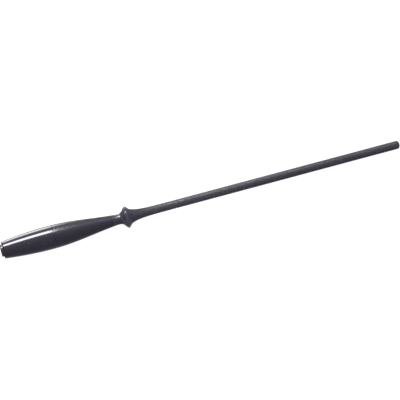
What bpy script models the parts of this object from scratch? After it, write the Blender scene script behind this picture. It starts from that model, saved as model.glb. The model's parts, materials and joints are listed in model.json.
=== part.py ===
"""A butcher's knife sharpening steel, lying along X with its tip towards +X.

A finely cut rod and its guard, a waisted collar, a textured grip sleeve and a polished rear barrel are
stacked on the rod's tang. A nut in the barrel clamps the stack, and a plug closes the barrel behind it.
The origin is the centre of the butt cap's flat end. The outlines below are drawn from the guard's crest
instead, so their parent, an empty at the crest, stands one handle's length in front of the origin.
Sizes are in millimetres times MM, which makes them metres.
"""

import math

import bmesh
import bpy
from mathutils import Matrix

MM = 0.001

# Driving dimensions
ROD_REACH = 300.0 * MM  # from the guard's crest to the tip
HANDLE_REACH = 138.5 * MM  # from the guard's crest to the butt
ROD_RADIUS = 4.55 * MM  # at the guard
GUARD_RADIUS = 11.7 * MM
NECK_RADIUS = 5.72 * MM
BELLY_RADIUS = 12.65 * MM
CAP_RADIUS = 6.87 * MM
GAP = 0.3 * MM  # between neighbouring pieces
WALL = 1.7 * MM  # of the hollow handle

# Rod
RIDGES = 32
RIDGE_DEPTH = 0.16 * MM
CUT_START = 22.0 * MM
CUT_END = ROD_REACH - 28.0 * MM
CUT_FADE = 4.0 * MM  # length over which the ridges rise from the smooth metal
CUT_TAPER = 0.15 * MM  # fall of the radius over the length of the cut
TIP_RADIUS = ROD_RADIUS - 0.13 * MM
TIP_ROUNDING = 3.6 * MM
SHOULDER = 4.5 * MM  # front face of the guard, which the bolster's shoulder bears on
BOLSTER_RISE = 3.15 * MM
BOLSTER_DECAY = 7.7 * MM

# Tang, from the shoulder backwards
SQUARE_TANG = 5.2 * MM  # across the flats of the square shank that keys guard and collar
SQUARE_END = -20.8 * MM
TANG_RADIUS = 3.0 * MM
THREAD_ROOT = 2.5 * MM
THREAD_PITCH = 1.0 * MM
THREAD_START = -113.0 * MM
TANG_END = -124.0 * MM
TANG_ROOM = TANG_RADIUS + GAP

# Handle stack: the planes where its pieces meet
GUARD_BACK = -2.0 * MM
NECK_PLANE = -9.2 * MM
COLLAR_BACK = -15.8 * MM
SPIGOT_END = -21.5 * MM
SEAM = -80.0 * MM
BELLY_PLANE = -84.0 * MM
BARREL_SPIGOT_FRONT = -70.0 * MM
SOCKET_FLOOR = -68.2 * MM
WEB_FRONT = -109.5 * MM
WEB_BACK = -113.0 * MM
BARREL_BACK = -HANDLE_REACH + 2.3 * MM

# Radii inside the handle
COLLAR_SPIGOT_RADIUS = 4.5 * MM
BARREL_SPIGOT_RADIUS = 9.8 * MM
BARREL_SPIGOT_BORE = 7.6 * MM
CAP_BORE = CAP_RADIUS + GAP

SHELL_SIDES = 40
SMALL_SIDES = 24


def bezier(start, start_handle, end_handle, end, steps):
    """Points along a cubic Bezier curve, without its first point."""
    points = []
    for step in range(1, steps + 1):
        t = step / steps
        weights = ((1 - t) ** 3, 3 * t * (1 - t) ** 2, 3 * t * t * (1 - t), t**3)
        corners = (start, start_handle, end_handle, end)
        x = sum(weight * corner[0] for weight, corner in zip(weights, corners))
        radius = sum(weight * corner[1] for weight, corner in zip(weights, corners))
        points.append((x, radius))
    return points


def arc(centre, radius, start_degrees, end_degrees, steps):
    """Points along an arc in the (x, radius) plane, counted anticlockwise from +X."""
    points = []
    for step in range(steps + 1):
        angle = math.radians(start_degrees + (end_degrees - start_degrees) * step / steps)
        points.append((centre[0] + radius * math.cos(angle), centre[1] + radius * math.sin(angle)))
    return points


def material(name, colour, roughness, metallic):
    """A Principled material, shared by the pieces that are made of it."""
    made = bpy.data.materials.new(name)
    made.use_nodes = True
    shader = made.node_tree.nodes["Principled BSDF"]
    shader.inputs["Base Color"].default_value = (*colour, 1.0)
    shader.inputs["Roughness"].default_value = roughness
    shader.inputs["Metallic"].default_value = metallic
    return made


def object_from(bm, name, surface, parent, position=(0, 0, 0)):
    """Turns a bmesh into a smooth-shaded object with its faces pointing out."""
    bmesh.ops.recalc_face_normals(bm, faces=bm.faces)
    if bm.calc_volume(signed=True) < 0:
        bmesh.ops.reverse_faces(bm, faces=bm.faces)
    mesh = bpy.data.meshes.new(name)
    bm.to_mesh(mesh)
    bm.free()
    mesh.shade_smooth()
    mesh.set_sharp_from_angle(angle=math.radians(30))
    mesh.materials.append(surface)
    made = bpy.data.objects.new(name, mesh)
    made.location = position
    made.parent = parent
    bpy.context.scene.collection.objects.link(made)
    return made


def turned(name, outline, surface, parent, position=(0, 0, 0), sides=SHELL_SIDES):
    """A solid turned about the X axis. An outline from radius 0 to radius 0 is a bar, any other a ring."""
    bm = bmesh.new()
    points = [bm.verts.new((x, 0, radius)) for x, radius in outline]
    is_bar = outline[0][1] == 0 and outline[-1][1] == 0
    following = points[1:] if is_bar else points[1:] + points[:1]
    edges = [bm.edges.new(pair) for pair in zip(points, following)]
    about = {"axis": (1, 0, 0), "cent": (0, 0, 0), "angle": math.tau}
    bmesh.ops.spin(bm, geom=points + edges, steps=sides, use_merge=True, **about)
    bmesh.ops.remove_doubles(bm, verts=bm.verts, dist=0.001 * MM)
    return object_from(bm, name, surface, parent, position)


def lofted(name, stations, points_round, surface, parent):
    """A solid through cross-sections (x, radius_at). radius_at gives the radius at a point's number."""
    bm = bmesh.new()
    rings = []
    for x, radius_at in stations:
        ring = []
        for number in range(points_round):
            angle = math.tau * number / points_round
            radius = radius_at(number, x)
            ring.append(bm.verts.new((x, radius * math.cos(angle), radius * math.sin(angle))))
        rings.append(ring)
    for near, far in zip(rings, rings[1:]):
        for number in range(points_round):
            following = (number + 1) % points_round
            bm.faces.new((near[number], near[following], far[following], far[number]))
    bm.faces.new(rings[0])
    bm.faces.new(rings[-1])
    return object_from(bm, name, surface, parent)


def helper(made):
    """Marks an object that only shapes another one."""
    made.hide_render = True
    made.display_type = "WIRE"
    return made


def boolean(target, operation, other):
    """Joins or cuts target with a helper object."""
    modifier = target.modifiers.new(operation.capitalize(), "BOOLEAN")
    modifier.operation = operation
    modifier.object = helper(other)


def block(name, x_low, x_high, width, surface, parent):
    """A square bar along the X axis."""
    bm = bmesh.new()
    scale = Matrix.Diagonal((x_high - x_low, width, width, 1))
    place = Matrix.Translation(((x_low + x_high) / 2, 0, 0))
    bmesh.ops.create_cube(bm, size=1, matrix=place @ scale)
    return object_from(bm, name, surface, parent)


def steady(radius):
    """A round cross-section."""
    return lambda number, x: radius


def ridged(radius, depth):
    """A cross-section whose odd points lie in the valleys between the ridges."""
    return lambda number, x: radius - (depth if number % 2 else 0)


def rod_radius(x):
    """The rod's outer radius: the bolster falls off into a bar with a slight taper."""
    bolster = BOLSTER_RISE * math.exp(-(x - SHOULDER) / BOLSTER_DECAY)
    along = min(max((x - CUT_START) / (CUT_END - CUT_START), 0), 1)
    return ROD_RADIUS + bolster - CUT_TAPER * along


def rod_stations():
    """Cross-sections from the bolster's shoulder to the tip."""
    face = SHOULDER + GAP
    bolster = [face + (CUT_START - face) * step**1.4 for step in (0, 0.12, 0.26, 0.42, 0.6, 0.8, 1)]
    stations = [(x, steady(rod_radius(x))) for x in bolster]
    cut_length = CUT_END - CUT_START
    cut = [CUT_START + CUT_FADE, CUT_START + 12 * MM]
    cut += [CUT_START + cut_length * part for part in (0.2, 0.4, 0.6, 0.8)]
    cut.append(CUT_END - CUT_FADE)
    stations += [(x, ridged(rod_radius(x), RIDGE_DEPTH)) for x in cut]
    stations.append((CUT_END, steady(TIP_RADIUS)))
    rounding = arc((ROD_REACH - TIP_ROUNDING, TIP_RADIUS - TIP_ROUNDING), TIP_ROUNDING, 90, 12, 5)
    stations += [(x, steady(radius)) for x, radius in rounding]
    stations.append((ROD_REACH, steady((TIP_RADIUS - TIP_ROUNDING) * 0.8)))
    return stations


def square_radius(number, x):
    """A square cross-section with its flats square to Y and Z."""
    angle = math.tau * number / SMALL_SIDES
    return SQUARE_TANG / 2 / max(abs(math.cos(angle)), abs(math.sin(angle)))


def thread_radius(number, x):
    """A helical V thread: the crest moves round by one turn each pitch."""
    turns = x / THREAD_PITCH - number / SMALL_SIDES
    height = abs(2 * (turns - math.floor(turns)) - 1)
    return THREAD_ROOT + (TANG_RADIUS - THREAD_ROOT) * height


def tang_stations():
    """Cross-sections from inside the bolster back to the threaded end."""
    rows_per_pitch = 4
    stations = [(SHOULDER + 6 * MM, square_radius), (SQUARE_END, square_radius)]
    stations += [(SQUARE_END - 0.4 * MM, steady(TANG_RADIUS)), (THREAD_START, steady(TANG_RADIUS))]
    rows = round((THREAD_START - TANG_END) / THREAD_PITCH * rows_per_pitch) - rows_per_pitch
    for row in range(1, rows):
        stations.append((THREAD_START - row * THREAD_PITCH / rows_per_pitch, thread_radius))
    stations.append((TANG_END, steady(THREAD_ROOT * 0.9)))
    return stations


def sharpening_rod(steel, parent):
    """The rod, its bolster and its tang, one forging."""
    rod = lofted("sharpening_rod", rod_stations(), 2 * RIDGES, steel, parent)
    tang = lofted("tang_form", tang_stations(), SMALL_SIDES, steel, parent)
    boolean(rod, "UNION", tang)


def key_hole(target, x_low, x_high, surface, parent):
    """Cuts the square hole that sits over the square shank."""
    cutter = block(target.name + "_key_cutter", x_low, x_high, SQUARE_TANG + 2 * GAP, surface, parent)
    boolean(target, "DIFFERENCE", cutter)


def guard_ring(steel, parent):
    """The finger guard: a disc with flared faces, a rounded rim and a seal groove in its front face."""
    rim_centre, rim_width = -0.3 * MM, 1.35 * MM
    rim_foot = GUARD_RADIUS - rim_width
    front_radius = ROD_RADIUS + BOLSTER_RISE
    back_radius = 10.7 * MM
    groove_low, groove_high, groove_floor = 4.35 * MM, 6.05 * MM, SHOULDER - 0.85 * MM
    outline = [(GUARD_BACK, TANG_RADIUS), (GUARD_BACK, back_radius)]
    outline += arc((rim_centre, rim_foot), rim_width, 160, 35, 6)
    front = (SHOULDER, front_radius)
    outline += bezier(outline[-1], (2.2 * MM, 9.9 * MM), (3.1 * MM, 8.4 * MM), front, 4)
    outline += [(SHOULDER, groove_high), (groove_floor, groove_high)]
    outline += [(groove_floor, groove_low), (SHOULDER, groove_low), (SHOULDER, TANG_RADIUS)]
    guard = turned("guard_ring", outline, steel, parent)
    key_hole(guard, GUARD_BACK - 5 * MM, SHOULDER + 5 * MM, steel, parent)


def o_ring(name, x, radius, cord, rubber, parent):
    """A seal ring round the axis."""
    ring = arc((0, radius), cord / 2, 0, 360, 8)[:-1]
    turned(name, ring, rubber, parent, (x, 0, 0), SMALL_SIDES)


def front_collar(steel, parent):
    """The polished neck: a flare that meets the guard, a waist, and a spigot for the grip sleeve."""
    front = GUARD_BACK - GAP
    flare_radius = 10.4 * MM
    outline = [(SPIGOT_END, TANG_RADIUS), (SPIGOT_END, COLLAR_SPIGOT_RADIUS)]
    outline += [(COLLAR_BACK, COLLAR_SPIGOT_RADIUS), (COLLAR_BACK, 6.15 * MM)]
    neck = (NECK_PLANE, NECK_RADIUS)
    outline += bezier(outline[-1], (-14.0 * MM, 5.86 * MM), (-12.4 * MM, NECK_RADIUS), neck, 4)
    outline += bezier(neck, (-5.9 * MM, NECK_RADIUS), (-4.4 * MM, 7.4 * MM), (front, flare_radius), 6)
    outline.append((front, TANG_RADIUS))
    collar = turned("front_collar", outline, steel, parent)
    key_hole(collar, SPIGOT_END - 5 * MM, front + 5 * MM, steel, parent)


def sleeve_outline(steps):
    """The grip's outer line from the collar to the belly."""
    start = (COLLAR_BACK - GAP, 6.18 * MM)
    end = (BELLY_PLANE, BELLY_RADIUS)
    start_handle = (start[0] - 24.8 * MM, start[1] + 2.38 * MM)
    return [start] + bezier(start, start_handle, (end[0] + 25.5 * MM, end[1]), end, steps)


def radius_on(outline, x):
    """The radius of an outline that runs towards -X, at x."""
    for (x_near, r_near), (x_far, r_far) in zip(outline, outline[1:]):
        if x_far <= x <= x_near:
            return r_near + (r_far - r_near) * (x_near - x) / (x_near - x_far)
    raise ValueError(f"the outline has no radius at {x}")


def grip_sleeve(steel, parent):
    """The textured sleeve, a hollow shell with a socket at each end."""
    outer = [point for point in sleeve_outline(12) if point[0] > SEAM + 2 * MM]
    outer.append((SEAM + GAP, radius_on(sleeve_outline(12), SEAM + GAP)))
    front_socket = COLLAR_SPIGOT_RADIUS + GAP
    rear_socket = BARREL_SPIGOT_RADIUS + GAP
    cavity_front = -27.0 * MM
    inner = [(SEAM + GAP, rear_socket), (SOCKET_FLOOR, rear_socket), (SOCKET_FLOOR, 8.6 * MM)]
    for x in (-55.0 * MM, -40.0 * MM, cavity_front):
        inner.append((x, min(8.6 * MM, radius_on(outer, x) - WALL)))
    inner += [(cavity_front, front_socket), (outer[0][0], front_socket)]
    turned("grip_sleeve", outer + inner, steel, parent)


def rear_barrel(steel, parent):
    """The polished barrel: a spigot with a seal groove, a belly, an inner web and a lipped rear end."""
    groove_front, groove_back, groove_radius = -75.4 * MM, -77.4 * MM, 8.9 * MM
    lip_radius, lip_rounding = 9.1 * MM, 0.7 * MM
    body_end = BARREL_BACK + 1.5 * MM
    outline = [(BARREL_SPIGOT_FRONT, BARREL_SPIGOT_BORE), (BARREL_SPIGOT_FRONT, BARREL_SPIGOT_RADIUS)]
    outline += [(groove_front, BARREL_SPIGOT_RADIUS), (groove_front, groove_radius)]
    outline += [(groove_back, groove_radius), (groove_back, BARREL_SPIGOT_RADIUS)]
    outline += [(SEAM, BARREL_SPIGOT_RADIUS), (SEAM, radius_on(sleeve_outline(12), SEAM))]
    outline.append((BELLY_PLANE, BELLY_RADIUS))
    body_handles = (-105 * MM, BELLY_RADIUS), (-121 * MM, 10.9 * MM)
    outline += bezier(outline[-1], *body_handles, (body_end, 9.35 * MM), 9)
    outline.append((body_end - 0.3 * MM, 8.9 * MM))
    outline += arc((BARREL_BACK + lip_rounding, lip_radius - lip_rounding), lip_rounding, 75, 180, 5)
    outline += [(BARREL_BACK, CAP_BORE), (WEB_BACK, CAP_BORE), (WEB_BACK, TANG_ROOM)]
    outline += [(WEB_FRONT, TANG_ROOM), (WEB_FRONT, 9.2 * MM), (-100 * MM, 10.2 * MM)]
    outline += [(-87 * MM, 10.2 * MM), (-83 * MM, BARREL_SPIGOT_BORE)]
    turned("rear_barrel", outline, steel, parent)


def centring_bush(plastic, parent):
    """A flanged bush held between the sleeve's socket floor and the barrel's spigot."""
    flange_front = SOCKET_FLOOR - GAP
    flange_back = BARREL_SPIGOT_FRONT + GAP
    outline = [(flange_front, TANG_ROOM), (flange_front, BARREL_SPIGOT_RADIUS)]
    outline += [(flange_back, BARREL_SPIGOT_RADIUS), (flange_back, BARREL_SPIGOT_BORE - GAP)]
    outline += [(-78 * MM, BARREL_SPIGOT_BORE - GAP), (-78 * MM, TANG_ROOM)]
    turned("centring_bush", outline, plastic, parent, sides=SMALL_SIDES)


def tang_washer(x_front, thickness, steel, parent):
    """A plain washer on the barrel's web."""
    outer_radius = 6.0 * MM
    outline = [(0, TANG_ROOM), (0, outer_radius), (-thickness, outer_radius), (-thickness, TANG_ROOM)]
    turned("tang_washer", outline, steel, parent, (x_front, 0, 0), SMALL_SIDES)


def spring_washer(x_front, thickness, steel, parent):
    """A split ring whose ends are set apart along the axis."""
    inner_radius, outer_radius, rise = TANG_ROOM, 5.4 * MM, 0.5 * MM
    first_angle, last_angle, steps = math.radians(8), math.radians(352), 22
    bm = bmesh.new()
    sections = []
    for step in range(steps + 1):
        part = step / steps
        angle = first_angle + (last_angle - first_angle) * part
        x = -rise * part
        section = []
        corners = [(x, inner_radius), (x, outer_radius)]
        corners += [(x - thickness, outer_radius), (x - thickness, inner_radius)]
        for along, radius in corners:
            section.append(bm.verts.new((along, radius * math.cos(angle), radius * math.sin(angle))))
        sections.append(section)
    for near, far in zip(sections, sections[1:]):
        for corner in range(4):
            following = (corner + 1) % 4
            bm.faces.new((near[corner], near[following], far[following], far[corner]))
    bm.faces.new(sections[0])
    bm.faces.new(sections[-1])
    object_from(bm, "spring_washer", steel, parent, (x_front, 0, 0))


def tang_nut(x_front, thickness, steel, parent):
    """A hexagon nut with chamfered corners."""
    corner_radius, flat_radius = 5.77 * MM, 5.0 * MM
    chamfer = 0.5 * MM
    lens = [(0, TANG_ROOM), (0, flat_radius), (-chamfer, corner_radius)]
    lens += [(chamfer - thickness, corner_radius), (-thickness, flat_radius), (-thickness, TANG_ROOM)]
    nut = turned("tang_nut", lens, steel, parent, (x_front, 0, 0), SMALL_SIDES)
    bm = bmesh.new()
    turn = Matrix.Rotation(math.radians(90), 4, "Y")
    sizes = {"radius1": corner_radius, "radius2": corner_radius, "depth": 4 * thickness}
    bmesh.ops.create_cone(bm, cap_ends=True, segments=6, matrix=turn, **sizes)
    hexagon = object_from(bm, "hexagon_form", steel, parent, (x_front, 0, 0))
    boolean(nut, "INTERSECT", hexagon)


def butt_cap(steel, parent):
    """The rear plug: a flat end with a rounded rim, and a hollow spigot with a seal groove."""
    rear = -HANDLE_REACH
    rounding = 1.1 * MM
    groove_back, groove_front, groove_radius = -131.8 * MM, -130.0 * MM, 5.9 * MM
    spigot_front = -128.2 * MM
    well_radius, well_floor = 4.6 * MM, -134.5 * MM
    outline = [(rear, 0)]
    outline += arc((rear + rounding, CAP_RADIUS - rounding), rounding, 180, 90, 4)
    outline += [(groove_back, CAP_RADIUS), (groove_back, groove_radius)]
    outline += [(groove_front, groove_radius), (groove_front, CAP_RADIUS)]
    outline += [(spigot_front, CAP_RADIUS), (spigot_front, well_radius)]
    outline += [(well_floor, well_radius), (well_floor, 0)]
    turned("butt_cap", outline, steel, parent)


def clear_scene():
    for existing in list(bpy.data.objects):
        bpy.data.objects.remove(existing, do_unlink=True)


def build():
    clear_scene()
    parent = bpy.data.objects.new("sharpening_steel", None)
    parent.location = (HANDLE_REACH, 0, 0)
    bpy.context.scene.collection.objects.link(parent)

    cut_steel = material("cut_steel", (0.065, 0.055, 0.07), 0.42, 0.8)
    polished_steel = material("polished_steel", (0.05, 0.048, 0.06), 0.12, 0.8)
    textured_steel = material("textured_steel", (0.055, 0.053, 0.066), 0.45, 0.8)
    zinc = material("zinc_plated_steel", (0.55, 0.56, 0.58), 0.35, 1.0)
    rubber = material("seal_rubber", (0.02, 0.02, 0.02), 0.7, 0.0)
    plastic = material("bush_plastic", (0.6, 0.6, 0.57), 0.5, 0.0)

    sharpening_rod(cut_steel, parent)
    guard_ring(polished_steel, parent)
    o_ring("guard_seal", SHOULDER - 0.25 * MM, 5.2 * MM, 0.9 * MM, rubber, parent)
    front_collar(polished_steel, parent)
    o_ring("tang_seal", SPIGOT_END - 1.0 * MM, 4.0 * MM, 1.0 * MM, rubber, parent)
    grip_sleeve(textured_steel, parent)
    centring_bush(plastic, parent)
    o_ring("seam_seal", -76.4 * MM, 9.5 * MM, 0.9 * MM, rubber, parent)
    rear_barrel(polished_steel, parent)

    washer_front, washer_thickness = WEB_BACK - GAP, 1.5 * MM
    spring_front, spring_thickness = washer_front - washer_thickness - GAP, 1.3 * MM
    nut_front = spring_front - spring_thickness - 0.5 * MM - GAP
    tang_washer(washer_front, washer_thickness, zinc, parent)
    spring_washer(spring_front, spring_thickness, zinc, parent)
    tang_nut(nut_front, 5.0 * MM, zinc, parent)
    o_ring("cap_seal", -130.9 * MM, 6.5 * MM, 0.9 * MM, rubber, parent)
    butt_cap(polished_steel, parent)


build()
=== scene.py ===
"""Looks of the knife sharpening steel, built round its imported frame.

The axis lies along X with the butt at x = 0. Each visible CAD node is replaced by a finely turned mesh that
follows the node's own outer line, and every piece gets a procedural material.
"""

import json
import math

import bpy
import numpy as np
from mathutils import Matrix, Vector, noise

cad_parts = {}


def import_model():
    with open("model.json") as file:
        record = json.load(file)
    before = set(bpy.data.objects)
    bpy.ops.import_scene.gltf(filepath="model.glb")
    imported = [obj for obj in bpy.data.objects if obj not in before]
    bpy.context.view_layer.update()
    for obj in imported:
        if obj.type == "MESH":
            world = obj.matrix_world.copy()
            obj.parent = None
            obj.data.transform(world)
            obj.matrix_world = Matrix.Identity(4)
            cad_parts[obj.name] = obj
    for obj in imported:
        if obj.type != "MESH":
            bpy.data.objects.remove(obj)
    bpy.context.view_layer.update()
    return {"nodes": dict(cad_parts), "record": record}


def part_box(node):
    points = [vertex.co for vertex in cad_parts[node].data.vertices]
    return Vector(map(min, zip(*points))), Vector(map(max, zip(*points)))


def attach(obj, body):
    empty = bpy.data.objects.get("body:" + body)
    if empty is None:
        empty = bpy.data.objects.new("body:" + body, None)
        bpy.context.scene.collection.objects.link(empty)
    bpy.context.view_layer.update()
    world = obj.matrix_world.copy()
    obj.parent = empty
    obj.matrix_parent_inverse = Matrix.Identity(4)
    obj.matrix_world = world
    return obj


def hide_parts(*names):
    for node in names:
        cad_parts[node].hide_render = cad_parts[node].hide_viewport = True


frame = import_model()

MM = 0.001

# View of the object: angles about its own axis, and where the axis lies in the picture
CAMERA_RISE = math.radians(50)  # of the camera over the floor, seen along the axis
CAMERA_LEAN = math.radians(3.4)  # towards the butt, away from square on
AXIS_SLOPE = math.radians(14.98)  # of the axis in the picture
CAMERA_DISTANCE = 6.0
FRAME_WIDTH = 0.4243  # width of the picture at the object's distance
AIM_ALONG = 0.21802  # of the picture's centre, along the axis from the butt
AIM_BELOW = 0.00252  # of the picture's centre, below the axis
SENSOR = 36.0

# Fineness of the meshes
SIDES = 256
GRIP_SIDES = 320
ROD_STEP = 1.0 * MM
GUARD_STEP = 0.12 * MM
COLLAR_STEP = 0.2 * MM
GRIP_STEP = 0.25 * MM
BARREL_STEP = 0.35 * MM
CAP_STEP = 0.06 * MM
CORNER = math.radians(20)  # a smoothed outline keeps corners that turn by more than this
SHARP_EDGE = math.radians(35)  # edges that turn by more than this are shaded sharp
EDGE_ROUNDING = 0.15 * MM
SAME_PLANE = 2e-6  # CAD corners this near to each other along X lie in one plane
LINE_SLACK = 0.02 * MM  # by which a corner may lie below the outermost line

# Joints
GAP = 0.3 * MM  # between CAD neighbours
JOINT_REACH = 0.12 * MM  # how far each face is drawn into the gap to its neighbour
SEAM_REACH = 0.03 * MM  # the same at the seam between grip and barrel, which shows as a line
CLEARANCE = 0.1 * MM  # of hidden round faces
BORE = 3.3 * MM  # of the guard and the collar, round the tang
REAR_SOCKET_DEPTH = 12 * MM
SPIGOT_WALL = 2.2 * MM

# Grip
PEBBLE_SIZE = 1.05 * MM
PEBBLE_HEIGHT = 0.035 * MM
PEBBLE_FADE = 0.4 * MM

# Rod
RIDGES = 64
POINTS_PER_RIDGE = 4
RIDGE_DEPTH = 0.05 * MM
BOLSTER = 15 * MM  # smooth, in front of the guard
RUN_OUT = 7 * MM  # over which the ridges deepen past the bolster
CUT_STOP = 0.5 * MM  # over which they end at the tip band
TIP_BAND = 28 * MM
TIP_ROUNDING = 3.5 * MM
CROWN_STEPS = 10
TANG_RADIUS = 2.9 * MM
TANG_CHAMFER = 0.6 * MM

# Steel
HANDLE_STEEL = (0.0415, 0.0385, 0.0535)
ROD_STEEL = (0.045, 0.0418, 0.057)
DULLNESS = 0.12  # share of the steel that scatters light instead of mirroring it

# Floor
FLOOR_HALF = 6.0
FLOOR_DROP = 0.02 * MM  # below the points that rest on it
RIM_PLACE = 2.0 * MM  # of the guard's resting point, from its rear face
TIP_PLACE = 3.6 * MM  # of the tip's resting point, from its end

# The studio. Its angles are in degrees: about the object's axis, from the camera over the top, and along the
# axis, towards the tip. The walls are brightest overhead: (about, radiance)
WALLS = (
    (-180, 0.65), (-60, 0.62), (-30, 0.7), (0, 0.88), (10, 0.98), (22, 1.2), (36, 1.5),
    (48, 1.8), (75, 2.0), (92, 1.8), (103, 1.1), (118, 0.75), (180, 0.65),
)  # fmt: skip
WALLS_ALONG = (-45, 25)
WALLS_SOFTNESS = 12
ROOM = 0.95  # beyond the walls' ends
# Softboxes: (about, its softness, along, its softness, colour)
KEY_BOX = ((47, 70.5), 2.0, (-22, 3.8), 0.8, (26.0, 27.0, 20.5))
SPILL_BOX = ((47, 70.5), 3.0, (-22, 6.5), 4.5, (0.9, 0.9, 0.9))
BACK_BOX = ((107, 137), 4.0, (-14, 4.5), 4.0, (10.0, 10.2, 8.8))


# ---------------------------------------------------------------- shapes


def outer_line(node, low=-1.0, high=1.0):
    """(x, radius) corners of a CAD node's outermost line between two planes, along +X."""
    mesh = frame["nodes"][node].data
    corners = np.array([vertex.co for vertex in mesh.vertices])
    starts, ends = corners[np.array([edge.vertices for edge in mesh.edges])].transpose(1, 0, 2)
    reach = {}
    for x in np.unique(np.round(corners[:, 0], 6)):
        if not low <= x <= high:
            continue
        here = np.abs(corners[:, 0] - x) < SAME_PLANE
        radius = np.hypot(corners[here, 1], corners[here, 2]).max()
        crossing = (starts[:, 0] - x) * (ends[:, 0] - x) < 0
        span = ends[crossing] - starts[crossing]
        part = (x - starts[crossing, 0]) / span[:, 0]
        crossed = starts[crossing] + span * part[:, None]
        over = np.hypot(crossed[:, 1], crossed[:, 2]).max() if crossing.any() else 0.0
        if radius > over - LINE_SLACK:
            reach[float(x)] = float(radius)
    return sorted(reach.items())


def smoothed_runs(points, step):
    """As smoothed, but the outline keeps its sharper corners."""
    headings = [math.atan2(far[1] - near[1], far[0] - near[0]) for near, far in zip(points, points[1:])]
    curve = []
    start = 0
    for i in range(1, len(points)):
        if i == len(points) - 1 or abs(headings[i] - headings[i - 1]) > CORNER:
            curve = curve[:-1] + smoothed(points[start : i + 1], step)
            start = i
    return curve


def smoothed(points, step):
    """The points joined by a smooth curve, resampled about every step along X."""
    if len(points) < 3:
        return list(points)
    xs = np.array([point[0] for point in points])
    rs = np.array([point[1] for point in points])
    slopes = np.gradient(rs, xs)
    count = max(2, round((xs[-1] - xs[0]) / step) + 1)
    curve = []
    for x in np.linspace(xs[0], xs[-1], count):
        i = min(max(int(np.searchsorted(xs, x)) - 1, 0), len(xs) - 2)
        width = xs[i + 1] - xs[i]
        t = (x - xs[i]) / width
        radius = (2 * t**3 - 3 * t**2 + 1) * rs[i] + (t**3 - 2 * t**2 + t) * width * slopes[i]
        radius += (3 * t**2 - 2 * t**3) * rs[i + 1] + (t**3 - t**2) * width * slopes[i + 1]
        curve.append((float(x), float(radius)))
    return curve


def eased_corner(corner, before, after, steps=4):
    """Points that round a corner of an outline between its neighbours."""
    corner, before, after = Vector(corner), Vector(before), Vector(after)
    start = corner + (before - corner).normalized() * EDGE_ROUNDING
    end = corner + (after - corner).normalized() * EDGE_ROUNDING
    points = []
    for step in range(steps + 1):
        t = step / steps
        point = (1 - t) ** 2 * start + 2 * t * (1 - t) * corner + t * t * end
        points.append((point.x, point.y))
    return points


def ring_outline(outer, inner, reach_low, reach_high):
    """A closed outline: the outer line, its ends stretched and their corners eased, then the inner line."""
    low = (outer[0][0] - reach_low, outer[0][1])
    high = (outer[-1][0] + reach_high, outer[-1][1])
    middle = outer[1:-1]
    points = eased_corner(low, (low[0], low[1] - MM), middle[0])
    points += [point for point in middle if low[0] + EDGE_ROUNDING < point[0] < high[0] - EDGE_ROUNDING]
    points += eased_corner(high, middle[-1], (high[0], high[1] - MM))
    return points + inner


def grid_mesh(name, rings, closed_outline):
    """A mesh from rings of points. Rings join in order, and the last joins the first on a closed outline."""
    sides = len(rings[0])
    points = np.concatenate(rings)
    faces = []
    pairs = list(zip(range(len(rings) - 1), range(1, len(rings))))
    if closed_outline:
        pairs.append((len(rings) - 1, 0))
    for near, far in pairs:
        for side in range(sides):
            following = (side + 1) % sides
            faces.append(
                (near * sides + side, far * sides + side, far * sides + following, near * sides + following)
            )
    if not closed_outline:
        faces.append(tuple(range(sides)))
        faces.append(tuple(range((len(rings) - 1) * sides, len(rings) * sides))[::-1])
    mesh = bpy.data.meshes.new(name)
    mesh.from_pydata(points.tolist(), [], faces)
    mesh.update()
    mesh.shade_smooth()
    mesh.set_sharp_from_angle(angle=SHARP_EDGE)
    return mesh


def turned(name, outline, sides=SIDES, offset=None, closed_outline=True):
    """A mesh turned about the X axis from (x, radius) points.

    offset(x, angles, radius), where given, is added to the radii of the ring at x.
    """
    angles = np.linspace(0, math.tau, sides, endpoint=False)
    rings = []
    for x, radius in outline:
        radii = np.full(sides, radius)
        if offset is not None:
            radii = radii + offset(x, angles, radius)
        rings.append(np.column_stack((np.full(sides, x), radii * np.cos(angles), radii * np.sin(angles))))
    return grid_mesh(name, rings, closed_outline)


def piece(name, mesh, node, surface):
    """Shows a mesh in place of a CAD node."""
    made = bpy.data.objects.new(name, mesh)
    bpy.context.scene.collection.objects.link(made)
    mesh.materials.append(surface)
    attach(made, "root")
    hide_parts(node)


# ---------------------------------------------------------------- materials


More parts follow.
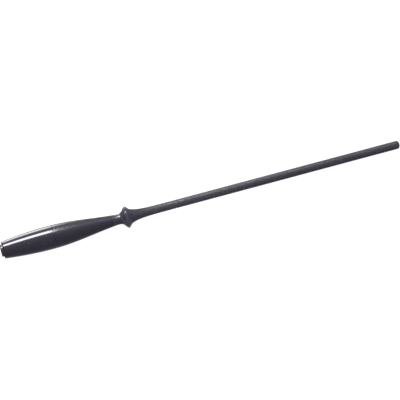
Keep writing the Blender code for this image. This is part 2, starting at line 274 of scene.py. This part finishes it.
class Nodes:
    """Short calls for building a node tree."""

    def __init__(self, tree):
        self.tree = tree

    def add(self, kind, **settings):
        node = self.tree.nodes.new(kind)
        for name, value in settings.items():
            if name.startswith("in_"):
                node.inputs[name[3:].replace("_", " ")].default_value = value
            else:
                setattr(node, name, value)
        return node

    def link(self, start, end):
        self.tree.links.new(start, end)

    def math(self, operation, first, second=None, third=None):
        node = self.add("ShaderNodeMath", operation=operation)
        for socket, value in zip(node.inputs, (first, second, third)):
            self.feed(value, socket)
        return node.outputs[0]

    def feed(self, value, socket):
        if value is None:
            return
        if isinstance(value, bpy.types.NodeSocket):
            self.link(value, socket)
        else:
            socket.default_value = value

    def remap(self, value, low, high, to_low, to_high, smooth=False):
        node = self.add("ShaderNodeMapRange", interpolation_type="SMOOTHSTEP" if smooth else "LINEAR")
        for socket, item in zip(node.inputs, (value, low, high, to_low, to_high)):
            self.feed(item, socket)
        return node.outputs[0]

    def noise(self, vector, scale, detail):
        node = self.add("ShaderNodeTexNoise", in_Scale=scale, in_Detail=detail)
        self.link(vector, node.inputs["Vector"])
        return node.outputs["Fac"]

    def stretched(self, vector, scales):
        node = self.add("ShaderNodeMapping", in_Scale=scales)
        self.link(vector, node.inputs["Vector"])
        return node.outputs["Vector"]

    def mixed(self, factor, first, second):
        node = self.add("ShaderNodeMix", data_type="RGBA")
        self.feed(factor, node.inputs[0])
        self.feed(first, node.inputs[6])
        self.feed(second, node.inputs[7])
        return node.outputs[2]

    def bump(self, height, distance, strength):
        node = self.add("ShaderNodeBump", in_Distance=distance, in_Strength=strength)
        self.link(height, node.inputs["Height"])
        return node.outputs["Normal"]


def blank_material(name):
    """A material with an empty node tree, the tree's builder and its output node."""
    made = bpy.data.materials.new(name)
    made.use_nodes = True
    made.node_tree.nodes.clear()
    nodes = Nodes(made.node_tree)
    output = nodes.add("ShaderNodeOutputMaterial")
    return made, nodes, output


def around_axis(nodes):
    """Position, and its distance along and from the axis."""
    position = nodes.add("ShaderNodeNewGeometry").outputs["Position"]
    parts = nodes.add("ShaderNodeSeparateXYZ")
    nodes.link(position, parts.inputs[0])
    x, y, z = parts.outputs
    radius = nodes.math("SQRT", nodes.math("ADD", nodes.math("MULTIPLY", y, y), nodes.math("MULTIPLY", z, z)))
    return position, x, radius


def toned(colour, factor):
    """A colour made lighter or darker, with its alpha."""
    return tuple(channel * factor for channel in colour) + (1,)


def specks(nodes, position, scale, share, radius):
    """1 inside small round spots. share is the part of the cells that hold one."""
    cells = nodes.add("ShaderNodeTexVoronoi", in_Scale=scale, in_Randomness=1.0)
    nodes.link(position, cells.inputs["Vector"])
    parts = nodes.add("ShaderNodeSeparateColor")
    nodes.link(cells.outputs["Color"], parts.inputs[0])
    chosen = nodes.math("LESS_THAN", parts.outputs[0], share)
    inside = nodes.remap(cells.outputs["Distance"], radius * 0.5, radius, 1.0, 0.0, smooth=True)
    return nodes.math("MULTIPLY", chosen, inside)


def polished_steel(name, tone=1.0, dullness=DULLNESS, satin=0.0, flare=None, crest=None):
    """Dark polished steel with smudges, turning lines and dust, satin up to a flare and below a crest."""
    made, nodes, output = blank_material(name)
    position, x, radius = around_axis(nodes)
    shader = nodes.add("ShaderNodeBsdfPrincipled", in_Metallic=1.0 - dullness, in_Specular_IOR_Level=0.0)
    smudge = nodes.noise(position, 90.0, 3.0)
    colour = nodes.mixed(smudge, toned(HANDLE_STEEL, 0.92 * tone), toned(HANDLE_STEEL, 1.08 * tone))
    dust = specks(nodes, position, 300.0, 0.13, 0.2)
    colour = nodes.mixed(nodes.math("MULTIPLY", dust, 0.6), colour, toned(HANDLE_STEEL, 5.0))
    roughness = nodes.remap(smudge, 0.3, 0.7, 0.07 + satin, 0.12 + satin)
    if flare is not None:
        roughness = nodes.math("ADD", roughness, nodes.remap(x, flare - 3 * MM, flare, 0.0, 0.3, smooth=True))
    if crest is not None:
        worn = nodes.remap(radius, crest - 1.2 * MM, crest - 0.3 * MM, 0.0, 1.0, smooth=True)
        scuffs = nodes.math("MULTIPLY", worn, nodes.noise(position, 700.0, 3.0))
        colour = nodes.mixed(scuffs, colour, toned(HANDLE_STEEL, 1.6))
        roughness = nodes.math("MULTIPLY_ADD", nodes.math("SUBTRACT", 1.0, worn), 0.3, roughness)
    nodes.link(colour, shader.inputs["Base Color"])
    nodes.link(roughness, shader.inputs["Roughness"])
    lines = nodes.noise(nodes.stretched(position, (9000.0, 60.0, 60.0)), 1.0, 2.0)
    nodes.link(nodes.bump(lines, 0.002 * MM, 0.3), shader.inputs["Normal"])
    nodes.link(shader.outputs[0], output.inputs["Surface"])
    return made


def textured_steel():
    """Dark steel, pebbled: grain finer than the modelled pebbles, and rubbed and dull patches."""
    made, nodes, output = blank_material("textured_steel")
    position = nodes.add("ShaderNodeNewGeometry").outputs["Position"]
    shader = nodes.add("ShaderNodeBsdfPrincipled", in_Metallic=1.0 - DULLNESS, in_Specular_IOR_Level=0.0)
    grain = nodes.noise(position, 2500.0, 3.0)
    mottle = nodes.noise(position, 420.0, 2.0)
    colour = nodes.mixed(mottle, toned(HANDLE_STEEL, 0.8), toned(HANDLE_STEEL, 1.1))
    nodes.link(colour, shader.inputs["Base Color"])
    nodes.link(nodes.remap(mottle, 0.35, 0.65, 0.28, 0.14), shader.inputs["Roughness"])
    nodes.link(nodes.bump(grain, 0.01 * MM, 0.5), shader.inputs["Normal"])
    nodes.link(shader.outputs[0], output.inputs["Surface"])
    return made


def rod_steel(shoulder):
    """The rod's steel: dark at the bolster, paler along the cut with streaks and glittering spots, and
    painted shade towards the tip.
    """
    made, nodes, output = blank_material("rod_steel")
    position, x, _ = around_axis(nodes)
    shader = nodes.add("ShaderNodeBsdfPrincipled", in_Specular_IOR_Level=0.0)
    glitter = nodes.noise(position, 420.0, 2.0)
    nodes.link(nodes.remap(glitter, 0.35, 0.65, 0.08, 0.5), shader.inputs["Metallic"])
    streak = nodes.noise(nodes.stretched(position, (40.0, 3000.0, 3000.0)), 1.0, 3.0)
    cloud = nodes.noise(position, 60.0, 2.0)
    near_colour = nodes.mixed(cloud, toned(ROD_STEEL, 0.92), toned(ROD_STEEL, 1.08))
    # painted shade: a darker copy of the rod's colour, standing in for the light falling off towards the tip
    tip_shaded_colour = nodes.mixed(cloud, toned(ROD_STEEL, 0.74), toned(ROD_STEEL, 0.86))
    past_bolster = nodes.remap(x, shoulder + 4 * MM, shoulder + 26 * MM, 0.0, 1.0, smooth=True)
    # painted shade: blends the rod towards the darker copy from past the bolster to the tip
    tip_shade_falloff = nodes.remap(x, shoulder + 30 * MM, shoulder + 200 * MM, 0.0, 1.0)
    colour = nodes.mixed(past_bolster, toned(HANDLE_STEEL, 0.87), near_colour)
    colour = nodes.mixed(tip_shade_falloff, colour, tip_shaded_colour)
    nodes.link(colour, shader.inputs["Base Color"])
    nodes.link(nodes.remap(streak, 0.3, 0.7, 0.1, 0.2), shader.inputs["Roughness"])
    nodes.link(nodes.bump(streak, 0.01 * MM, 0.4), shader.inputs["Normal"])
    nodes.link(shader.outputs[0], output.inputs["Surface"])
    return made


def plain_part(name, colour, roughness, metallic, grain):
    """A hidden inner part's material, with slight variation."""
    made, nodes, output = blank_material(name)
    position = nodes.add("ShaderNodeNewGeometry").outputs["Position"]
    shader = nodes.add("ShaderNodeBsdfPrincipled", in_Metallic=metallic)
    cloud = nodes.noise(position, grain, 3.0)
    darker = tuple(c * 0.85 for c in colour) + (1,)
    nodes.link(nodes.mixed(cloud, darker, (*colour, 1)), shader.inputs["Base Color"])
    nodes.link(nodes.remap(cloud, 0.3, 0.7, roughness * 0.85, roughness * 1.15), shader.inputs["Roughness"])
    nodes.link(nodes.bump(cloud, 0.02 * MM, 0.3), shader.inputs["Normal"])
    nodes.link(shader.outputs[0], output.inputs["Surface"])
    return made


# ---------------------------------------------------------------- pieces


def rod(surface):
    """The cut rod with its bolster, and the plain tang that the handle hides."""
    guard_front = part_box("guard_ring")[1].x
    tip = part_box("sharpening_rod")[1].x
    tang_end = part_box("sharpening_rod")[0].x
    outline = smoothed(outer_line("sharpening_rod", guard_front + GAP / 2, tip - TIP_ROUNDING), ROD_STEP)
    shoulder = outline[0][0]
    tip_radius = outline[-1][1]
    rounding = tip - outline[-1][0]
    cut_start, cut_end = shoulder + BOLSTER, tip - TIP_BAND
    crown = []
    for step in range(1, CROWN_STEPS):
        angle = math.pi / 2 * step / CROWN_STEPS
        crown_x = tip - rounding + rounding * math.sin(angle)
        crown.append((crown_x, tip_radius - rounding + rounding * math.cos(angle)))
    crown.append((tip, (tip_radius - rounding) * 0.9))
    tang = [(tang_end, TANG_RADIUS - TANG_CHAMFER), (tang_end + TANG_CHAMFER, TANG_RADIUS)]
    tang.append((shoulder, TANG_RADIUS))
    edge = eased_corner(outline[0], tang[-1], outline[1])
    stop = [(cut_end - 0.02 * MM, tip_radius), (cut_end + CUT_STOP, tip_radius)]
    body = sorted(outline[1:] + stop)

    def ridges(x, angles, radius):
        rise = min(max((x - cut_start) / RUN_OUT, 0), 1)
        rise = rise * rise * (3 - 2 * rise)
        fall = min(max((cut_end - x) / CUT_STOP, 0), 1)
        depth = RIDGE_DEPTH * rise * fall
        phase = np.arange(len(angles)) % POINTS_PER_RIDGE / POINTS_PER_RIDGE
        return -depth * (1 - np.abs(2 * phase - 1))

    mesh = turned("rod", tang + edge + body + crown, RIDGES * POINTS_PER_RIDGE, ridges, closed_outline=False)
    piece("rod", mesh, "sharpening_rod", surface)


def guard(surface):
    """The finger guard, with its faces drawn up to their neighbours."""
    low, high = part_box("guard_ring")
    outer = smoothed(outer_line("guard_ring"), GUARD_STEP)
    inner = [(high.x, BORE), (low.x, BORE)]
    mesh = turned("guard", ring_outline(outer, inner, JOINT_REACH, JOINT_REACH))
    piece("guard", mesh, "guard_ring", surface)


def collar(surface):
    """The waisted neck and its spigot."""
    low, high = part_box("front_collar")
    spigot_radius = outer_line("front_collar")[0][1]
    outer = smoothed(outer_line("front_collar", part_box("grip_sleeve")[1].x), COLLAR_STEP)
    back = outer[0][0] - JOINT_REACH
    inner = [(high.x, BORE), (low.x, BORE), (low.x, spigot_radius), (back, spigot_radius)]
    mesh = turned("collar", ring_outline(outer, inner, JOINT_REACH, JOINT_REACH))
    piece("collar", mesh, "front_collar", surface)


def pebbles(x, angles, radius):
    """Heights of the grip's pebbled texture on one ring."""
    heights = []
    for angle in angles:
        point = Vector((x, radius * math.cos(angle), radius * math.sin(angle))) / PEBBLE_SIZE
        near = noise.voronoi(point)[0][0]
        heights.append(-min(near, 1.0) ** 2)
    return np.array(heights) * PEBBLE_HEIGHT


def grip(surface):
    """The textured sleeve. The pebbles fade out just before each end."""
    low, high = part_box("grip_sleeve")
    outer = smoothed(outer_line("grip_sleeve"), GRIP_STEP)
    front_socket = outer_line("front_collar")[0][1] + 2 * CLEARANCE
    rear_socket = outer_line("rear_barrel")[-1][1] + 2 * CLEARANCE
    step = low.x + REAR_SOCKET_DEPTH
    inner = [(high.x, front_socket), (step, front_socket), (step, rear_socket), (low.x, rear_socket)]
    sockets = {front_socket, rear_socket}

    def texture(x, angles, radius):
        fade = min(x - low.x, high.x - x) / PEBBLE_FADE
        if fade <= 0 or radius in sockets:
            return np.zeros(len(angles))
        return pebbles(x, angles, radius) * min(1, fade)

    mesh = turned("grip", ring_outline(outer, inner, SEAM_REACH, JOINT_REACH), GRIP_SIDES, texture)
    piece("grip", mesh, "grip_sleeve", surface)


def barrel(surface):
    """The polished barrel with its lip, its spigot and its rear bore."""
    low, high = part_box("rear_barrel")
    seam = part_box("grip_sleeve")[0].x
    spigot_radius = outer_line("rear_barrel")[-1][1] - CLEARANCE
    spigot_bore = spigot_radius - SPIGOT_WALL
    cap_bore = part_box("butt_cap")[1].z + CLEARANCE
    outer = smoothed_runs(outer_line("rear_barrel", low.x, seam), BARREL_STEP)
    front = outer[-1][0] + SEAM_REACH
    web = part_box("tang_washer")[1].x
    inner = [(front, spigot_radius), (high.x, spigot_radius), (high.x, spigot_bore)]
    inner += [(web, spigot_bore), (web, cap_bore), (low.x, cap_bore)]
    mesh = turned("barrel", ring_outline(outer, inner, 0.0, SEAM_REACH))
    piece("barrel", mesh, "rear_barrel", surface)


def cap(surface):
    """The butt plug, flat with a rounded rim."""
    low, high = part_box("butt_cap")
    rim = smoothed(outer_line("butt_cap", low.x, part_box("rear_barrel")[0].x), CAP_STEP)
    centre = 0.05 * MM
    outline = [(low.x, centre)] + rim + [(high.x, rim[-1][1]), (high.x, centre)]
    mesh = turned("cap", outline, closed_outline=False)
    piece("cap", mesh, "butt_cap", surface)


def finish_inner_nodes():
    """Procedural materials for the CAD nodes inside the handle."""
    zinc = plain_part("zinc", (0.62, 0.63, 0.66), 0.32, 1.0, 900.0)
    rubber = plain_part("rubber", (0.02, 0.02, 0.022), 0.65, 0.0, 1500.0)
    nylon = plain_part("nylon", (0.66, 0.65, 0.60), 0.45, 0.0, 600.0)
    slots = {"zinc_plated_steel": zinc, "seal_rubber": rubber, "bush_plastic": nylon}
    for part in frame["record"]["subparts"]:
        if part["material_slot"] in slots:
            node = frame["nodes"][part["node"]]
            node.data.materials.clear()
            node.data.materials.append(slots[part["material_slot"]])


# ---------------------------------------------------------------- stage


def view_axes():
    """Unit vectors square to the object's axis: towards the camera, and up in the picture."""
    towards = Vector((0, -math.cos(CAMERA_RISE), math.sin(CAMERA_RISE)))
    upwards = Vector((0, math.sin(CAMERA_RISE), math.cos(CAMERA_RISE)))
    return towards, upwards


def place_camera():
    """The camera, square to the aim point but for its lean, with the axis sloping across the picture."""
    towards, upwards = view_axes()
    axis = Vector((1, 0, 0))
    back = towards * math.cos(CAMERA_LEAN) - axis * math.sin(CAMERA_LEAN)
    along = axis * math.cos(CAMERA_LEAN) + towards * math.sin(CAMERA_LEAN)
    right = along * math.cos(AXIS_SLOPE) - upwards * math.sin(AXIS_SLOPE)
    up = along * math.sin(AXIS_SLOPE) + upwards * math.cos(AXIS_SLOPE)
    data = bpy.data.cameras.new("camera")
    data.sensor_width = SENSOR
    data.lens = SENSOR * CAMERA_DISTANCE / FRAME_WIDTH
    camera = bpy.data.objects.new("camera", data)
    place = axis * AIM_ALONG - upwards * AIM_BELOW + back * CAMERA_DISTANCE
    camera.matrix_world = Matrix.Translation(place) @ Matrix((right, up, back)).transposed().to_4x4()
    bpy.context.scene.collection.objects.link(camera)
    bpy.context.scene.camera = camera


def floor():
    """A pale floor that the guard's rim and the tip rest on. It glows brighter on them than to the camera."""
    guard_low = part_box("guard_ring")[0]
    rod_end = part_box("sharpening_rod")[1].x
    tip_radius = outer_line("sharpening_rod", rod_end - TIP_BAND / 2)[0][1]
    rim = Vector((guard_low.x + RIM_PLACE, 0, guard_low.z))
    tip = Vector((rod_end - TIP_PLACE, 0, -tip_radius))
    slope = math.atan2(tip.z - rim.z, tip.x - rim.x)
    mesh = bpy.data.meshes.new("floor")
    corners = [(x * FLOOR_HALF, y * FLOOR_HALF, 0) for x, y in ((-1, -1), (1, -1), (1, 1), (-1, 1))]
    mesh.from_pydata(corners, [], [(0, 1, 2, 3)])
    made = bpy.data.objects.new("floor", mesh)
    lowered = Vector((0, 0, -FLOOR_DROP))
    made.matrix_world = Matrix.Translation(rim + lowered) @ Matrix.Rotation(-slope, 4, "Y")
    bpy.context.scene.collection.objects.link(made)
    surface, nodes, output = blank_material("floor")
    path = nodes.add("ShaderNodeLightPath")
    seen = floor_finish(nodes, (0.985, 0.985, 0.985), 0.08)
    reflected = floor_finish(nodes, (1.5, 1.4, 1.38), 0.06)
    choice = nodes.add("ShaderNodeMixShader")
    nodes.link(path.outputs["Is Camera Ray"], choice.inputs[0])
    nodes.link(reflected, choice.inputs[1])
    nodes.link(seen, choice.inputs[2])
    nodes.link(choice.outputs[0], output.inputs["Surface"])
    mesh.materials.append(surface)
    made.visible_glossy = False  # polished steel mirrors the walls instead


def floor_finish(nodes, glow, albedo):
    """A matt surface with its own glow, which keeps shadows faint."""
    light = nodes.add("ShaderNodeEmission", in_Color=(*glow, 1))
    matt = nodes.add("ShaderNodeBsdfDiffuse", in_Color=(albedo, albedo, albedo, 1))
    both = nodes.add("ShaderNodeAddShader")
    nodes.link(light.outputs[0], both.inputs[0])
    nodes.link(matt.outputs[0], both.inputs[1])
    return both.outputs[0]


def studio_direction(nodes):
    """Angle about the object's axis and angle along it of a world direction, in degrees."""
    direction = nodes.add("ShaderNodeTexCoord").outputs["Generated"]
    towards, upwards = view_axes()
    reach = []
    for vector in (towards, upwards, Vector((1, 0, 0))):
        dot = nodes.add("ShaderNodeVectorMath", operation="DOT_PRODUCT")
        nodes.link(direction, dot.inputs[0])
        dot.inputs[1].default_value = vector
        reach.append(dot.outputs["Value"])
    about = nodes.math("DEGREES", nodes.math("ARCTAN2", reach[1], reach[0]))
    along = nodes.math("DEGREES", nodes.math("ARCSINE", reach[2]))
    return about, along


def window(nodes, value, low, high, softness):
    """1 inside a range of angles, falling to 0 outside it."""
    rise = nodes.remap(value, low - softness, low + softness, 0.0, 1.0, smooth=True)
    fall = nodes.remap(value, high - softness, high + softness, 1.0, 0.0, smooth=True)
    return nodes.math("MULTIPLY", rise, fall)


def walls(nodes, about, along):
    """Radiance of the pale room round the object."""
    top = max(radiance for angle, radiance in WALLS)
    ramp = nodes.add("ShaderNodeValToRGB")
    nodes.link(nodes.remap(about, -180.0, 180.0, 0.0, 1.0), ramp.inputs[0])
    while len(ramp.color_ramp.elements) < len(WALLS):
        ramp.color_ramp.elements.new(0.5)
    for stop, (angle, radiance) in zip(ramp.color_ramp.elements, WALLS):
        stop.position = (angle + 180) / 360
        stop.color = (radiance / top,) * 3 + (1,)
    beside = window(nodes, along, *WALLS_ALONG, WALLS_SOFTNESS)
    extra = nodes.math("MULTIPLY", nodes.math("MULTIPLY_ADD", ramp.outputs[0], top, -ROOM), beside)
    return nodes.math("ADD", extra, ROOM)


def softbox(nodes, about, along, place):
    """A soft-edged light."""
    about_range, about_softness, along_range, along_softness, colour = place
    across = window(nodes, about, *about_range, about_softness)
    lengthwise = window(nodes, along, *along_range, along_softness)
    top = max(colour)
    light = nodes.add("ShaderNodeBackground", in_Color=tuple(channel / top for channel in colour) + (1,))
    strength = nodes.math("MULTIPLY", nodes.math("MULTIPLY", across, lengthwise), top)
    nodes.link(strength, light.inputs["Strength"])
    return light.outputs[0]


def world():
    """White to the camera. In reflections, a pale room with softboxes."""
    made = bpy.data.worlds.new("studio")
    bpy.context.scene.world = made
    made.use_nodes = True
    made.node_tree.nodes.clear()
    nodes = Nodes(made.node_tree)
    output = nodes.add("ShaderNodeOutputWorld")
    about, along = studio_direction(nodes)
    room = nodes.add("ShaderNodeBackground", in_Color=(1, 1, 1, 1))
    nodes.link(walls(nodes, about, along), room.inputs["Strength"])
    studio = room
    for place in (KEY_BOX, SPILL_BOX, BACK_BOX):
        both = nodes.add("ShaderNodeAddShader")
        nodes.link(studio.outputs[0], both.inputs[0])
        nodes.link(softbox(nodes, about, along, place), both.inputs[1])
        studio = both
    white = nodes.add("ShaderNodeBackground", in_Color=(1, 1, 1, 1), in_Strength=1.0)
    path = nodes.add("ShaderNodeLightPath")
    choice = nodes.add("ShaderNodeMixShader")
    nodes.link(path.outputs["Is Camera Ray"], choice.inputs[0])
    nodes.link(studio.outputs[0], choice.inputs[1])
    nodes.link(white.outputs[0], choice.inputs[2])
    nodes.link(choice.outputs[0], output.inputs["Surface"])


polished = polished_steel("polished_steel")
guard_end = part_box("guard_ring")[1]
collar_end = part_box("front_collar")[1]
rod(rod_steel(guard_end.x))
guard(polished_steel("guard_steel", tone=1.04, dullness=0.45, crest=guard_end.z))
collar(polished_steel("collar_steel", tone=1.17, dullness=0.2, satin=0.09, flare=collar_end.x))
grip(textured_steel())
barrel(polished)
cap(polished)
finish_inner_nodes()
floor()
world()
place_camera()
bpy.context.scene.view_settings.view_transform = "Standard"
